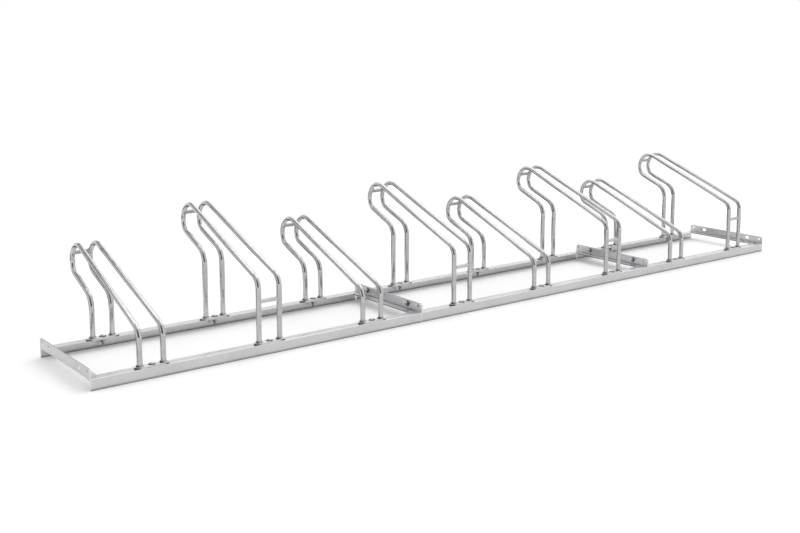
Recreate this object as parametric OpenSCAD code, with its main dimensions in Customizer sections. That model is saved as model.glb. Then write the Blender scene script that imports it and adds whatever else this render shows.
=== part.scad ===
// Floor bike rack: three bolted sections of an angle-steel ground frame that carry
// eight wheel places, alternately low and high. Each place is a pair of bent round-bar
// hoops that stand on two base plates and toe in towards the rear.
// Millimetres, +Z up, +X along the rails, the wheels roll in from the -Y side.
// The origin is on the floor, at the middle of the overall length and depth.

/* [Places] */
// Distance from one wheel place to the next
place_pitch = 350; // [300:10:500]
// From a section's left end to its first wheel place
first_place = 170; // [120:5:230]

/* [Ground frame] */
// Depth of the frame, over the outer faces of its two rails
frame_depth = 350; // [330:5:450]
// Flange width of the angle steel
rail_size = 30; // [30:1:36]
// Wall of the angle steel
rail_wall = 3; // [2.5:0.5:4]
// Radius in the root of the angle steel
rail_root_r = 2; // [1:0.5:2]
// Radius on the inner edge of each flange tip
rail_toe_r = 1.2; // [0.5:0.1:2]
// Radius on the upper corners of the end angles
end_corner_r = 9; // [3:1:12]

/* [End slots and holes] */
// Length of a joining slot, end to end
slot_length = 18; // [14:1:24]
// Width of a joining slot
slot_width = 11; // [9:0.5:12]
// From the rail's outer face to the middle of the slot
slot_inset = 70; // [50:5:110]
// From the top of the end angle down to the middle of the slot
slot_drop = 12; // [10:0.5:14]
// Diameter of the round hole near each corner
hole_d = 9; // [6:0.5:10]
// From the rail's outer face to the round hole
hole_inset = 15; // [12:1:30]
// From the top of the end angle down to the round hole
hole_drop = 9; // [7:0.5:14]

/* [Hoops] */
// Diameter of the round bar
bar_d = 15; // [12:0.5:18]
// Clear gap between the two hoops at their front legs
front_gap = 50.6; // [46:0.2:56]
// Clear gap between the two hoops at their rear legs
rear_gap = 42; // [38:0.5:46]
// From the front rail's outer face to the axis of the front legs
front_leg_inset = 12; // [11:0.5:16]
// From the rear rail's outer face to the axis of the rear legs
rear_leg_inset = 20; // [14:0.5:22]
// How far the bar's axis at the head lies behind the rear rail's outer face
head_reach = 117; // [100:1:140]
// Rise of the long diagonal and of the lower return, in degrees
slope = 21.5; // [15:0.5:30]
// From the base plates up to the corner of the front bend, on a low place
shoulder_rise = 94.6; // [80:1:140]
// How much taller a high place is
high_rise = 80.6; // [0:1:120]
// Centreline radius of the front bend
front_bend_r = 40; // [25:1:55]
// Centreline radius of the head bend
head_bend_r = 53.5; // [40:0.5:65]
// Centreline radius of the neck bend
neck_bend_r = 35; // [25:1:50]
// Centreline radius of the rear bend
rear_bend_r = 54; // [30:1:60]
// Straight bar between the head bend and the neck bend
head_straight = 1; // [0.5:0.5:30]

/* [Cross bars] */
// Diameter of the bars that tie two hoops together
cross_bar_d = 12; // [8:0.5:14]
// Place of the top bar on the head bend, in degrees above its middle
top_bar_angle = 27; // [15:1:70]
// From the base plates up to the axis of the front bar of a high place
front_bar_height = 115; // [60:5:130]

/* [Base plates] */
// Length of a base plate, over its round ends
plate_length = 96; // [90:1:130]
// Width of a base plate
plate_width = 20; // [18:0.5:22]
// Thickness of a base plate
plate_t = 5; // [4:0.5:8]

/* [Carriage bolts] */
// Shank diameter
bolt_d = 8; // [6:0.5:8]
// Length under the head
bolt_length = 25; // [20:1:27]
// Diameter of the domed head
bolt_head_d = 20; // [16:0.5:22]
// Height of the domed head
bolt_head_h = 4.6; // [3:0.2:6]
// Width of the square neck
neck_w = 8.4; // [8.2:0.1:9]
// Hole for the shank in the rail
bolt_hole_d = 9; // [8.5:0.5:11]
// Width across the flats of the nut
nut_af = 13; // [12:0.5:13]
// Height of the nut
nut_h = 6.5; // [5:0.5:8]

/* [Joining bolts] */
// Shank diameter
join_d = 8; // [6:0.5:8]
// Length under the head
join_length = 20; // [18:1:25]
// Width across the flats of head and nut
join_af = 13; // [12:0.5:14]
// Diameter of the collar under head and nut
join_collar_d = 18; // [16:0.5:20]
// Thickness of that collar
join_collar_t = 1.5; // [1:0.5:2.5]
// Height of the head with its collar
join_head_h = 7.5; // [5:0.5:9]
// Height of the nut with its collar
join_nut_h = 8; // [6:0.5:9]

/* [Hidden] */
// Wheel places in each section, from the left
section_places = [3, 3, 2];
// Depth to which a cross bar's ends stay clear of the hoops
cope_gap = 0.2;
// Clearance round the square neck in its base plate, and below it
neck_gap = 0.3;
// Clearance between a bolt's shank and its nut
thread_gap = 0.15;
// How much thinner than its straights a bent stretch of bar is, as bending draws it
bend_draw = 0.3;
// How far a straight closes over the end of each bend beside it
bend_lap = 0.1;
// Overrun of every cut past the face that it opens
overrun = 1;
$fn = 64;

place_count = places_before(len(section_places));
place_list = [0 : place_count - 1];
section_list = [0 : len(section_places) - 1];
joint_list = [1 : len(section_places) - 1];
rack_length = place_count * place_pitch;
rack_depth = frame_depth + head_reach + bar_d / 2;
flange_top = rail_size;
flange_bottom = rail_size - rail_wall;
end_top = flange_bottom + rail_size;
plate_top = flange_top + plate_t;
rear_leg_y = frame_depth - rear_leg_inset;
front_half = (front_gap + bar_d) / 2;
rear_half = (rear_gap + bar_d) / 2;
toe_in = atan((front_half - rear_half) / (rear_leg_y - front_leg_inset));
rear_run = (rear_leg_y - front_leg_inset) / cos(toe_in);
head_run = (frame_depth + head_reach - front_leg_inset) / cos(toe_in);
head_drop = tangent(head_bend_r, 90 + slope) + head_straight + tangent(neck_bend_r, 90 - slope);
top_bar_run = head_run - head_bend_r + head_bend_r * cos(top_bar_angle);
top_bar_half = front_half - top_bar_run * sin(toe_in);
toe_r = min(rail_toe_r, rail_wall / 2);
corner_share = 2 / sqrt(3);
steel = "silver";
bright_steel = "gainsboro";
dark_steel = "darkgray";

function places_before(s) = s == 0 ? 0 : places_before(s - 1) + section_places[s - 1];
function section_start(s) = places_before(s) * place_pitch;
function section_end(s) = places_before(s + 1) * place_pitch;
function place_x(p) = first_place + p * place_pitch;
function section_of(p) = [for (s = section_list) if (p >= places_before(s) && p < places_before(s + 1)) s][0];
function is_high(p) = p % 2 == 1;
function direction(a) = [cos(a), sin(a)];

// Length that a bend of radius r and the given turn takes from each straight beside it
function tangent(r, turn) = r * tan(abs(turn) / 2);

// Corners of a hoop's centreline in its own plane, from the front plate to the rear plate
function shoulder(p) = shoulder_rise + (is_high(p) ? high_rise : 0);
function head_corner(p) = [head_run, shoulder(p) + head_run * tan(slope)];
function neck_corner(p) = head_corner(p) - [0, head_drop];
function knee_corner(p) = [rear_run, neck_corner(p)[1] - (head_run - rear_run) * tan(slope)];
function hoop_corners(p) = [[0, 0], [0, shoulder(p)], head_corner(p), neck_corner(p), knee_corner(p), [rear_run, 0]];
function hoop_radii() = [0, front_bend_r, head_bend_r, neck_bend_r, rear_bend_r, 0];
// Heading of each straight, in degrees above the level
function hoop_headings() = [90, slope, -90, slope - 180, -90];

// Moves the children from the corner under the left end of the front rail to the origin
module from_corner() {
    translate([-rack_length / 2, -rack_depth / 2, 0]) children();
}

// Outside of a rounding of radius r, about the rounding's own centre
module corner_waste(r) {
    difference() {
        square(r + overrun);
        circle(r);
    }
}

// Section of the angle steel, with its heel at the origin
module angle_profile() {
    pocket = rail_size - rail_wall + overrun;
    difference() {
        square(rail_size);
        translate([rail_wall + rail_root_r, rail_wall]) square(pocket);
        translate([rail_wall, rail_wall + rail_root_r]) square(pocket);
        translate([rail_wall + rail_root_r, rail_wall + rail_root_r]) circle(rail_root_r);
        translate([rail_size - toe_r, rail_wall - toe_r]) corner_waste(toe_r);
        translate([rail_wall - toe_r, rail_size - toe_r]) corner_waste(toe_r);
    }
}

// Bar along X between the two ends, with the angle's heel at the top and outside
module rail_blank(s) {
    translate([section_start(s), 0, rail_size])
        rotate([90, 0, 90])
            linear_extrude(section_end(s) - section_start(s))
                mirror([0, 1]) angle_profile();
}

// Room at both ends of a rail for the end angles, which stand on its upright flange
module end_seats(s) {
    for (x = [section_start(s) - overrun, section_end(s) - rail_wall])
        translate([x, -overrun, flange_bottom])
            cube([rail_wall + overrun, rail_size + 2 * overrun, rail_wall + overrun]);
}

// One rail lying at the front, with its bolt holes at the given distance from its outer face
module rail(s, inset) {
    difference() {
        rail_blank(s);
        end_seats(s);
        for (p = place_list)
            if (section_of(p) == s)
                translate([place_x(p), inset, flange_bottom - overrun])
                    cylinder(d = bolt_hole_d, h = rail_wall + 2 * overrun);
    }
}

module front_rail(s) {
    color(steel) from_corner() rail(s, front_leg_inset);
}

module rear_rail(s) {
    color(steel) from_corner()
        translate([0, frame_depth, 0]) mirror([0, 1, 0]) rail(s, rear_leg_inset);
}

// Upright face of an end angle, seen along X, with its upper corners rounded
module end_outline() {
    translate([0, flange_bottom]) square([frame_depth, rail_size - end_corner_r]);
    translate([end_corner_r, flange_bottom]) square([frame_depth - 2 * end_corner_r, rail_size]);
    for (y = [end_corner_r, frame_depth - end_corner_r])
        translate([y, end_top - end_corner_r]) circle(end_corner_r);
}

// Slot that runs along Y through an end angle, about its own middle
module joining_slot() {
    run = slot_length - slot_width;
    translate([-overrun, -run / 2, -slot_width / 2])
        cube([rail_wall + 2 * overrun, run, slot_width]);
    for (y = [-run / 2, run / 2])
        translate([-overrun, y, 0]) rotate([0, 90, 0])
            cylinder(d = slot_width, h = rail_wall + 2 * overrun);
}

// End angle of the left end, with its heel down and outside at X = 0
module end_angle() {
    difference() {
        intersection() {
            translate([0, frame_depth, flange_bottom]) rotate([90, 0, 0])
                linear_extrude(frame_depth) angle_profile();
            rotate([90, 0, 90]) linear_extrude(rail_size) end_outline();
        }
        // The lower flange stops at the edges of the two rails
        for (y = [-overrun, frame_depth - rail_size])
            translate([rail_wall, y, flange_bottom - overrun])
                cube([rail_size, rail_size + overrun, rail_size + 2 * overrun]);
        for (y = [slot_inset, frame_depth - slot_inset])
            translate([0, y, end_top - slot_drop]) joining_slot();
        for (y = [hole_inset, frame_depth - hole_inset])
            translate([-overrun, y, end_top - hole_drop]) rotate([0, 90, 0])
                cylinder(d = hole_d, h = rail_wall + 2 * overrun);
    }
}

module left_end_angle(s) {
    color(bright_steel) from_corner() translate([section_start(s), 0, 0]) end_angle();
}

module right_end_angle(s) {
    color(bright_steel) from_corner()
        translate([section_end(s), 0, 0]) mirror([1, 0, 0]) end_angle();
}

// Straight round bar in the plane of a hoop
module straight(from, heading, length, d) {
    translate(from) rotate([0, 90, heading]) cylinder(d = d, h = length);
}

// Bend of a round bar about a corner of its centreline, in the plane of a hoop
module bend(corner, heading_in, heading_out, r, d) {
    turn = heading_out - heading_in;
    side = sign(turn);
    start = corner - tangent(r, turn) * direction(heading_in);
    middle = start + side * r * direction(heading_in + 90);
    translate(middle) rotate(min(heading_in - side * 90, heading_in - side * 90 + turn))
        rotate_extrude(angle = abs(turn)) translate([r, 0]) circle(d = d);
}

// Round bar along a centreline of straights and bends
module bent_bar(corners, headings, radii, d) {
    last = len(headings) - 1;
    turns = [for (i = [0 : last]) i == 0 ? 0 : headings[i] - headings[i - 1]];
    for (i = [0 : last]) {
        lead = i == 0 ? 0 : tangent(radii[i], turns[i]) - bend_lap;
        trail = i == last ? 0 : tangent(radii[i + 1], turns[i + 1]) - bend_lap;
        straight(corners[i] + lead * direction(headings[i]), headings[i],
            norm(corners[i + 1] - corners[i]) - lead - trail, d);
        if (i > 0)
            bend(corners[i], headings[i - 1], headings[i], radii[i], d - bend_draw);
    }
}

// Puts the plane of a hoop in its place: side is -1 for the left hoop and 1 for the right one
module hoop_plane(p, side) {
    translate([place_x(p) + side * front_half, front_leg_inset, plate_top])
        rotate(side * toe_in) rotate([90, 0, 90]) children();
}

module hoop(p, side) {
    color(bright_steel) from_corner() hoop_plane(p, side)
        bent_bar(hoop_corners(p), hoop_headings(), hoop_radii(), bar_d);
}

// Bar across the two heads, coped to them
module top_bar(p) {
    height = plate_top + head_corner(p)[1] - tangent(head_bend_r, 90 + slope);
    color(bright_steel) from_corner() difference() {
        translate([
            place_x(p) - top_bar_half,
            front_leg_inset + top_bar_run * cos(toe_in),
            height + head_bend_r * sin(top_bar_angle)])
            rotate([0, 90, 0]) cylinder(d = cross_bar_d, h = 2 * top_bar_half);
        for (side = [-1, 1])
            hoop_plane(p, side)
                bend(head_corner(p), slope, -90, head_bend_r, bar_d + 2 * cope_gap);
    }
}

// Bar between the front legs of a high place, coped to them
module front_bar(p) {
    color(bright_steel) from_corner() difference() {
        translate([place_x(p) - front_half, front_leg_inset, plate_top + front_bar_height])
            rotate([0, 90, 0]) cylinder(d = cross_bar_d, h = 2 * front_half);
        for (side = [-1, 1])
            hoop_plane(p, side)
                straight([0, 0], 90, shoulder(p) - tangent(front_bend_r, 90 - slope), bar_d + 2 * cope_gap);
    }
}

// Flat bar with round ends and a square hole for the bolt's neck, about the bolt's axis
module base_plate() {
    run = plate_length - plate_width;
    hole = neck_w + 2 * neck_gap;
    difference() {
        union() {
            translate([-run / 2, -plate_width / 2, 0]) cube([run, plate_width, plate_t]);
            for (x = [-run / 2, run / 2])
                translate([x, 0, 0]) cylinder(d = plate_width, h = plate_t);
        }
        translate([-hole / 2, -hole / 2, -overrun]) cube([hole, hole, plate_t + 2 * overrun]);
    }
}

module front_plate(p) {
    color(steel) from_corner() translate([place_x(p), front_leg_inset, flange_top]) base_plate();
}

module rear_plate(p) {
    color(steel) from_corner() translate([place_x(p), rear_leg_y, flange_top]) base_plate();
}

// Puts the children on the axis of each bolt that holds a base plate, at the given height
module at_plates(z) {
    from_corner()
        for (p = place_list)
            for (y = [front_leg_inset, rear_leg_y])
                translate([place_x(p), y, z]) children();
}

// Domed bolt with a square neck, hanging from the plane under its head
module carriage_bolt() {
    dome_r = (pow(bolt_head_d / 2, 2) + pow(bolt_head_h, 2)) / (2 * bolt_head_h);
    neck_h = plate_t - neck_gap;
    intersection() {
        translate([0, 0, bolt_head_h - dome_r]) sphere(dome_r);
        cylinder(d = bolt_head_d + overrun, h = bolt_head_h + overrun);
    }
    translate([-neck_w / 2, -neck_w / 2, -neck_h]) cube([neck_w, neck_w, neck_h]);
    translate([0, 0, -bolt_length]) cylinder(d = bolt_d, h = bolt_length);
}

module carriage_bolts() {
    color(dark_steel) at_plates(plate_top) carriage_bolt();
}

// Six-sided prism with two flats square to Y
module hexagon(af, h) {
    cylinder(d = af * corner_share, h = h, $fn = 6);
}

// Hexagon nut, hanging from the plane of its seat
module rail_nut() {
    translate([0, 0, -nut_h]) difference() {
        hexagon(nut_af, nut_h);
        translate([0, 0, -overrun]) cylinder(d = bolt_d + 2 * thread_gap, h = nut_h + 2 * overrun);
    }
}

module rail_nuts() {
    color(dark_steel) at_plates(flange_bottom) rail_nut();
}

// Puts the children on the axis of each joining bolt, on a face to the given side of the joint
module at_joints(side) {
    from_corner()
        for (s = joint_list)
            for (y = [slot_inset, frame_depth - slot_inset])
                translate([section_start(s) + side * rail_wall, y, end_top - slot_drop])
                    rotate([0, side * 90, 0]) children();
}

// Hexagon head or nut with a round collar, standing on its seat
module collared_hexagon(h) {
    cylinder(d = join_collar_d, h = join_collar_t);
    hexagon(join_af, h);
}

module joining_bolts() {
    color(dark_steel) at_joints(1) {
        collared_hexagon(join_head_h);
        translate([0, 0, -join_length]) cylinder(d = join_d, h = join_length);
    }
}

module joining_nuts() {
    color(dark_steel) at_joints(-1) difference() {
        collared_hexagon(join_nut_h);
        translate([0, 0, -overrun]) cylinder(d = join_d + 2 * thread_gap, h = join_nut_h + 2 * overrun);
    }
}

for (s = section_list) {
    front_rail(s);
    rear_rail(s);
    left_end_angle(s);
    right_end_angle(s);
}
for (p = place_list) {
    hoop(p, -1);
    hoop(p, 1);
    top_bar(p);
    front_plate(p);
    rear_plate(p);
    if (is_high(p))
        front_bar(p);
}
carriage_bolts();
rail_nuts();
joining_bolts();
joining_nuts();
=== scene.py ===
"""Floor bike rack of galvanised steel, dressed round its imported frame."""
import math
import random

import bmesh
import bpy
from mathutils import Matrix, Vector


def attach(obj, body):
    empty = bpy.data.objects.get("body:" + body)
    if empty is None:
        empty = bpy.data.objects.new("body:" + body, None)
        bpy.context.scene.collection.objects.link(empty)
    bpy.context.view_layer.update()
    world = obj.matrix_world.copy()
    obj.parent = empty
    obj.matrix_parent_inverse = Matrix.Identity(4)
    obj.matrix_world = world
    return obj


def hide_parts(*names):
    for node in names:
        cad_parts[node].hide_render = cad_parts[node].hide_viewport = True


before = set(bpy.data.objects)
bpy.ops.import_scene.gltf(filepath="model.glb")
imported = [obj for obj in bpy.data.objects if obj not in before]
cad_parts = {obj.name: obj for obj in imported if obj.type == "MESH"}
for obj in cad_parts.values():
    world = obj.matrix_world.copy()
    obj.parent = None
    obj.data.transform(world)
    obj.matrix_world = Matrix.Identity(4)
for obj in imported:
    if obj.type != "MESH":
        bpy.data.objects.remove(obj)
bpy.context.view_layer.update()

# The row of wheel places: all sizes are in millimetres, from the ground under the left front corner
PITCH = 350.0
FIRST_PLACE = 170.0
PLACES = range(8)
SECTIONS = ((0, 3), (3, 6), (6, 8))
RACK_LENGTH = PITCH * len(PLACES)
JOINTS = [places[0] * PITCH for places in SECTIONS[1:]]

# The ground frame's angle steel, and the rails' distance from the inner joints
FRAME_DEPTH = 350.0
RAIL = 30.0
WALL = 3.0
HEEL_R = 1.3
ROOT_R = 2.0
TOE_R = 1.2
TIP_R = 0.9
END_EDGE_R = 0.9
RAIL_SETBACK = 1.5
FLANGE_BOTTOM = RAIL - WALL

# The end angles' corners, slots and holes
END_TOP = FLANGE_BOTTOM + RAIL
END_CORNER_R = 9.0
SLOT_LENGTH = 18.0
SLOT_WIDTH = 11.0
SLOT_INSET = 70.0
SLOT_DROP = 12.0
HOLE_D = 9.0
HOLE_INSET = 15.0
HOLE_DROP = 9.0

# The hoops, whose bar is a little thinner round the head, and their cross bars
BAR_R = 7.5
HEAD_BAR_R = 7.3
HEAD_EASE = 8.0
FRONT_HALF = 32.8
REAR_HALF = 28.5
FRONT_LEG_Y = 12.0
REAR_LEG_Y = 330.0
HEAD_Y = 467.0
SLOPE = 21.5
SHOULDER_RISE = 94.6
HIGH_RISE = 80.6
FRONT_BEND_R = 40.0
HEAD_BEND_R = 53.5
NECK_BEND_R = 35.0
REAR_BEND_R = 54.0
HEAD_STRAIGHT = 1.0
CROSS_BAR_R = 6.0
CROSS_BAR_SINK = 2.0
TOP_BAR_ANGLE = 27.0
FRONT_BAR_HEIGHT = 115.0

# The base plates
PLATE_LENGTH = 96.0
PLATE_WIDTH = 20.0
PLATE_T = 5.0
PLATE_EDGE_R = 1.2
PLATE_UNDER_R = 0.3
PLATE_TOP = RAIL + PLATE_T
NECK_HOLE = 9.0

# The bolts and nuts
BOLT_R = 4.0
BOLT_LENGTH = 25.0
BOLT_HEAD_R = 10.0
BOLT_HEAD_H = 4.6
BOLT_RIM = 0.5
NECK_HALF = 4.2
NUT_AF = 12.9
NUT_H = 6.5
BORE_R = 3.7
BORE_CHAMFER = 0.6
JOIN_LENGTH = 20.0
JOIN_HEAD_H = 7.5
JOIN_NUT_H = 8.0
COLLAR_R = 9.0
COLLAR_T = 1.5
COLLAR_CHAMFER = 0.3
COLLAR_RIM = 0.8
THREAD_PITCH = 1.25
THREAD_DEPTH = 0.6
THREAD_CHAMFER = 1.0

# How finely round forms are drawn: steps in an arc, points in a ring and degrees in a bend
HEEL_STEPS = 5
TIP_STEPS = 4
TOE_STEPS = 5
ROOT_STEPS = 8
END_EDGE_STEPS = 3
END_CORNER_STEPS = 14
SLOT_STEPS = 20
PLATE_END_STEPS = 24
PLATE_EDGE_STEPS = 4
DOME_STEPS = 12
THREAD_STEPS = 6
BAR_RING = 40
BEAD_RING = 10
HOLE_RING = 48
HEAD_RING = 56
COLLAR_RING = 60
HEXAGON_RING = 72
THREAD_RING = 24
BEND_STEP = 3.0

# How far a cutter reaches past what it cuts, and how close a point lies to the surface that it is on
OVERRUN = 1.0
CLOSE = 0.1

TOE_IN = math.atan((FRONT_HALF - REAR_HALF) / (REAR_LEG_Y - FRONT_LEG_Y))
REAR_RUN = (REAR_LEG_Y - FRONT_LEG_Y) / math.cos(TOE_IN)
HEAD_RUN = (HEAD_Y - FRONT_LEG_Y) / math.cos(TOE_IN)
RACK_DEPTH = HEAD_Y + BAR_R
TO_ROW = Matrix.Translation((-RACK_LENGTH / 2000, -RACK_DEPTH / 2000, 0)) @ Matrix.Scale(0.001, 4)


def tangent_length(radius, turn):
    """What a bend takes from the straights on both sides of its corner."""
    return radius * math.tan(math.radians(abs(turn)) / 2)


def heading_vector(degrees):
    return Vector((math.cos(math.radians(degrees)), math.sin(math.radians(degrees))))


def place_x(p):
    return FIRST_PLACE + p * PITCH


def section_ends(s):
    return [n * PITCH for n in SECTIONS[s]]


def is_high(p):
    return p % 2 == 1


# Materials of galvanised and zinc plated steel

# Name of the mesh attribute that carries painted shade, above 0, and painted highlights, below 0
PAINTED_LIGHT = "painted_light"
METALLIC = 0.9
UNIT = (0.0, 1.0)
NOISE_RANGE = (0.3, 0.7)
SPECK_RANGE = (0.68, 0.78)
SPANGLE_SCALE = 130.0

# What the patterns add to the shade, and what painted shade and painted highlights multiply it by
CLOUD_SHADE = (-0.05, 0.05)
BLOTCH_SHADE = (-0.035, 0.035)
SPECK_SHADE = (0.0, -0.07)
PAINTED_SHADE_FACTOR = (1.0, 0.1)
PAINTED_SHADE_PATCHES = (0.75, 1.1)
PAINTED_HIGHLIGHT_FACTOR = (1.4, 1.0)

# What the patterns and the painted shade add to the roughness
BLOTCH_ROUGHNESS = (-0.06, 0.07)
SPANGLE_ROUGHNESS = (-0.04, 0.04)
PAINTED_SHADE_ROUGHNESS = 0.2


class Graph:
    """Small helper to lay out the nodes of a material or of the world."""

    def __init__(self, owner, output="ShaderNodeOutputMaterial"):
        self.owner = owner
        owner.use_nodes = True
        self.tree = owner.node_tree
        self.tree.nodes.clear()
        self.out = self.tree.nodes.new(output)

    def node(self, kind, inputs=None, **settings):
        """A new node with values or links for its inputs."""
        made = self.tree.nodes.new(kind)
        for key, value in settings.items():
            setattr(made, key, value)
        for key, value in (inputs or {}).items():
            if isinstance(value, bpy.types.NodeSocket):
                self.tree.links.new(value, made.inputs[key])
            else:
                made.inputs[key].default_value = value
        return made

    def maths(self, operation, first, *others):
        """Adds, multiplies or compares values one after the other."""
        for other in others:
            made = self.node("ShaderNodeMath", {0: first, 1: other}, operation=operation)
            first = made.outputs[0]
        return first

    def noise(self, where, scale, detail, roughness):
        made = self.node("ShaderNodeTexNoise", {
            "Vector": where, "Scale": scale, "Detail": detail, "Roughness": roughness})
        return made.outputs["Fac"]

    def span(self, value, source, target):
        """Maps a value from one range to another, and holds it at the ends."""
        made = self.node("ShaderNodeMapRange", {
            "Value": value, "From Min": source[0], "From Max": source[1],
            "To Min": target[0], "To Max": target[1]})
        return made.outputs["Result"]

    def show(self, shader):
        """Shows a shader, and gives the material or world that it belongs to."""
        self.tree.links.new(shader.outputs[0], self.out.inputs["Surface"])
        return self.owner


def wavy_skin(g, where, waviness, grit):
    """Normals of a gently wavy skin with a fine grain on it."""
    wave = g.noise(where, scale=42.0, detail=2.0, roughness=0.5)
    fine = g.noise(where, scale=650.0, detail=3.0, roughness=0.6)
    skin = g.node("ShaderNodeBump", {"Height": wave, "Strength": 1.0, "Distance": waviness})
    grain = g.node("ShaderNodeBump", {
        "Height": fine, "Strength": 1.0, "Distance": grit, "Normal": skin.outputs[0]})
    return grain.outputs[0]


def galvanised(name, tone, roughness, spangle, waviness, grit):
    """Hot-dip zinc with spangle cells, clouds and dark specks, with painted shade and painted highlights
    laid on from a mesh attribute.

    spangle is how much the cells' shades differ. waviness and grit are heights in metres."""
    g = Graph(bpy.data.materials.new(name))
    where = g.node("ShaderNodeTexCoord").outputs["Object"]
    cells = g.node("ShaderNodeTexVoronoi", {"Vector": where, "Scale": SPANGLE_SCALE, "Randomness": 1.0})
    cell = g.node("ShaderNodeSeparateColor", {"Color": cells.outputs["Color"]}).outputs[0]
    clouds = g.noise(where, scale=9.0, detail=5.0, roughness=0.55)
    blotches = g.noise(where, scale=55.0, detail=4.0, roughness=0.6)
    specks = g.noise(where, scale=260.0, detail=2.0, roughness=0.5)
    painted_light = g.node("ShaderNodeAttribute", attribute_name=PAINTED_LIGHT).outputs["Fac"]
    painted_shade = g.maths("MULTIPLY", painted_light, g.span(blotches, NOISE_RANGE, PAINTED_SHADE_PATCHES))

    shade = g.maths(
        "ADD",
        g.span(clouds, NOISE_RANGE, CLOUD_SHADE),
        g.span(blotches, NOISE_RANGE, BLOTCH_SHADE),
        g.span(cell, UNIT, (-spangle, spangle)),
        g.span(specks, SPECK_RANGE, SPECK_SHADE),
        1.0)
    # Darkened by the painted shade and brightened by the painted highlights
    shade = g.maths(
        "MULTIPLY",
        shade,
        g.span(painted_shade, UNIT, PAINTED_SHADE_FACTOR),
        g.span(painted_light, (-1.0, 0.0), PAINTED_HIGHLIGHT_FACTOR))
    colour = g.node("ShaderNodeVectorMath", {0: tone, 3: shade}, operation="SCALE").outputs[0]
    rough = g.maths(
        "ADD",
        g.span(blotches, NOISE_RANGE, BLOTCH_ROUGHNESS),
        g.span(cell, UNIT, SPANGLE_ROUGHNESS),
        g.span(painted_shade, UNIT, (roughness, roughness + PAINTED_SHADE_ROUGHNESS)))
    return g.show(g.node("ShaderNodeBsdfPrincipled", {
        "Base Color": colour, "Roughness": rough, "Metallic": METALLIC,
        "Normal": wavy_skin(g, where, waviness, grit)}))


ANGLE_STEEL = galvanised(
    "galvanised_angle_steel", tone=(0.585, 0.585, 0.595), roughness=0.33, spangle=0.025,
    waviness=0.0002, grit=0.00002)
BAR_STEEL = galvanised(
    "galvanised_round_bar", tone=(0.53, 0.53, 0.535), roughness=0.1, spangle=0.07,
    waviness=0.00015, grit=0.00005)
FRONT_BAR_STEEL = galvanised(
    "galvanised_front_bar", tone=(0.57, 0.57, 0.575), roughness=0.45, spangle=0.03,
    waviness=0.0002, grit=0.00004)
TOP_BAR_STEEL = galvanised(
    "galvanised_top_bar", tone=(0.42, 0.42, 0.425), roughness=0.45, spangle=0.03,
    waviness=0.0002, grit=0.00004)
PLATE_STEEL = galvanised(
    "galvanised_flat_bar", tone=(0.585, 0.585, 0.595), roughness=0.3, spangle=0.025,
    waviness=0.0002, grit=0.00003)
FASTENER_ZINC = galvanised(
    "zinc_plated_fasteners", tone=(0.42, 0.42, 0.425), roughness=0.2, spangle=0.01,
    waviness=0.0001, grit=0.00001)
WELD_ZINC = galvanised(
    "galvanised_weld_beads", tone=(0.58, 0.58, 0.585), roughness=0.3, spangle=0.02,
    waviness=0.0003, grit=0.00004)


# Helpers that build meshes

FLAT_CREASE = 32.0
PLATE_CREASE = 40.0
WELD_CREASE = 80.0


def ramp(value, low, high):
    """0 below low, 1 above high and smooth between them."""
    t = max(0.0, min(1.0, (value - low) / (high - low)))
    return t * t * (3 - 2 * t)


def turns(count):
    """Angles in radians of equal steps round a circle."""
    return [2 * math.pi * k / count for k in range(count)]


def arc(centre, radius, start, end, steps):
    """Points on a flat arc, whose start and end are in degrees."""
    points = []
    for i in range(steps + 1):
        a = math.radians(start + (end - start) * i / steps)
        points.append((centre[0] + radius * math.cos(a), centre[1] + radius * math.sin(a)))
    return points


def quarter_round(radius, steps):
    """Inset and depth of an outline as it goes round a rounded edge, from the cap to the side."""
    angles = [math.pi / 2 * i / steps for i in range(steps + 1)]
    return [(radius * (1 - math.sin(a)), radius * (1 - math.cos(a))) for a in angles]


def loft(bm, rows, closed=False):
    """Skin through rows of points, closed to a loop or else capped at its ends. Gives the caps."""
    rings = [[bm.verts.new(point) for point in row] for row in rows]
    pairs = list(zip(rings, rings[1:]))
    if closed:
        pairs.append((rings[-1], rings[0]))
    for low, high in pairs:
        for i in range(len(low)):
            after = (i + 1) % len(low)
            bm.faces.new((low[i], low[after], high[after], high[i]))
    return [] if closed else [bm.faces.new(rings[0]), bm.faces.new(rings[-1])]


def sweep(bm, path, side_vector):
    """Round bar along a flat path of points with their headings and radii."""
    rows = []
    for point, heading, radius in path:
        normal = side_vector.cross(heading)
        rows.append([
            point + radius * (math.cos(a) * normal + math.sin(a) * side_vector) for a in turns(BAR_RING)])
    loft(bm, rows)


def revolve(bm, profile, place, count, closed=False):
    """Turned shape from radius and height pairs, placed by a matrix."""
    loft(bm, [
        [place @ Vector((radius * math.cos(a), radius * math.sin(a), height)) for a in turns(count)]
        for radius, height in profile], closed)


def prism(bm, outline, start, end, to_space):
    """Solid of constant section between two places along its length."""
    caps = loft(bm, [[to_space(a, b, along) for a, b in outline] for along in (start, end)])
    bmesh.ops.triangulate(bm, faces=caps)


def box(bm, low, high, place=Matrix()):
    low, high = Vector(low), Vector(high)
    stretch = Matrix.Translation((high + low) / 2) @ Matrix.Diagonal((*(high - low), 1))
    made = bmesh.ops.create_cube(bm, size=1)["verts"]
    bmesh.ops.transform(bm, matrix=place @ stretch, verts=made)


def cylinder(bm, place, radius, length):
    revolve(bm, [(radius, 0), (radius, length)], place, HOLE_RING)


def scratch_object(bm):
    """Object that holds a mesh for a while, so that a modifier can use it."""
    bmesh.ops.recalc_face_normals(bm, faces=bm.faces)
    mesh = bpy.data.meshes.new("scratch")
    bm.to_mesh(mesh)
    bm.free()
    obj = bpy.data.objects.new("scratch", mesh)
    bpy.context.collection.objects.link(obj)
    return obj


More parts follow.
